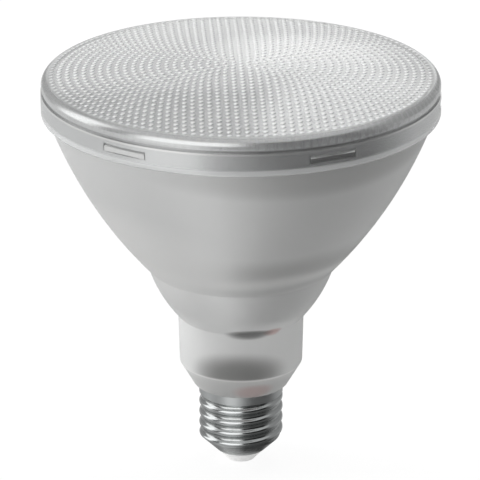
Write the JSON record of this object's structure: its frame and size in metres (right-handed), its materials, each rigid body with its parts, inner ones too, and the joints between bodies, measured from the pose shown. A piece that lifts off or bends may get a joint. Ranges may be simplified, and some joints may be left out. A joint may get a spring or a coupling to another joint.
{
  "type": "led grow light bulb",
  "caption": "Reflector-shaped LED grow lamp: clear dimpled domed lens snapped on a frosted translucent body with a round neck and an Edison screw cap.",
  "frame": {"origin": "centre of the cap's contact face, on the lamp's axis", "axes": "+Z along the lamp's axis from the cap towards the lens; -Y faces the camera"},
  "size_m": [0.1214, 0.1214, 0.1309],
  "materials": {
    "cap_metal": "nickel plated, satin collar",
    "cap_insulator": "moulded",
    "contact_metal": "tinned",
    "cement": "cured adhesive",
    "frosted_plastic": "frosted, translucent",
    "clear_plastic": "clear, polished",
    "seal": "translucent silicone",
    "aluminium": "pressed, satin",
    "thermal_pad": "soft pad",
    "board_white": "white solder mask",
    "steel": "zinc plated",
    "terminal": "moulded",
    "metallised": "metallised, satin",
    "board_green": "glass-fibre laminate",
    "sleeve": "insulating film",
    "ferrite": "sintered",
    "tape": "polyester tape",
    "capacitor_black": "sleeved can",
    "film_capacitor": "dipped",
    "chip_black": "moulded epoxy",
    "varistor": "epoxy coated",
    "resistor": "cement coated",
    "led_blue": "clear encapsulant over a blue chip",
    "led_red": "clear encapsulant over a red chip",
    "led_white": "phosphor",
    "lead_red": "insulated wire",
    "lead_black": "insulated wire",
    "lead_white": "insulated wire"
  },
  "bodies": {
    "root": {"screw_shell": "cap_metal", "cap_insulator": "cap_insulator", "centre_contact": "contact_metal", "cap_cement": "cement", "reflector_body": "frosted_plastic", "front_lens": "clear_plastic", "lens_seal": "seal", "heat_spreader": "aluminium", "thermal_pad": "thermal_pad", "led_board": "board_white", "board_screws": "steel", "led_terminal": "terminal", "beam_reflector": "metallised", "driver_board": "board_green", "driver_sleeve": "sleeve", "transformer_core": "ferrite", "transformer_coil": "tape", "output_capacitor": "capacitor_black", "input_capacitor": "capacitor_black", "filter_choke": "ferrite", "film_capacitor": "film_capacitor", "bridge_rectifier": "chip_black", "controller_chip": "chip_black", "varistor": "varistor", "fuse_resistor": "resistor", "blue_leds": "led_blue", "red_leds": "led_red", "white_leds": "led_white", "red_lead": "lead_red", "black_lead": "lead_black", "live_lead": "lead_white", "neutral_lead": "lead_black"}
  },
  "joints": []
}
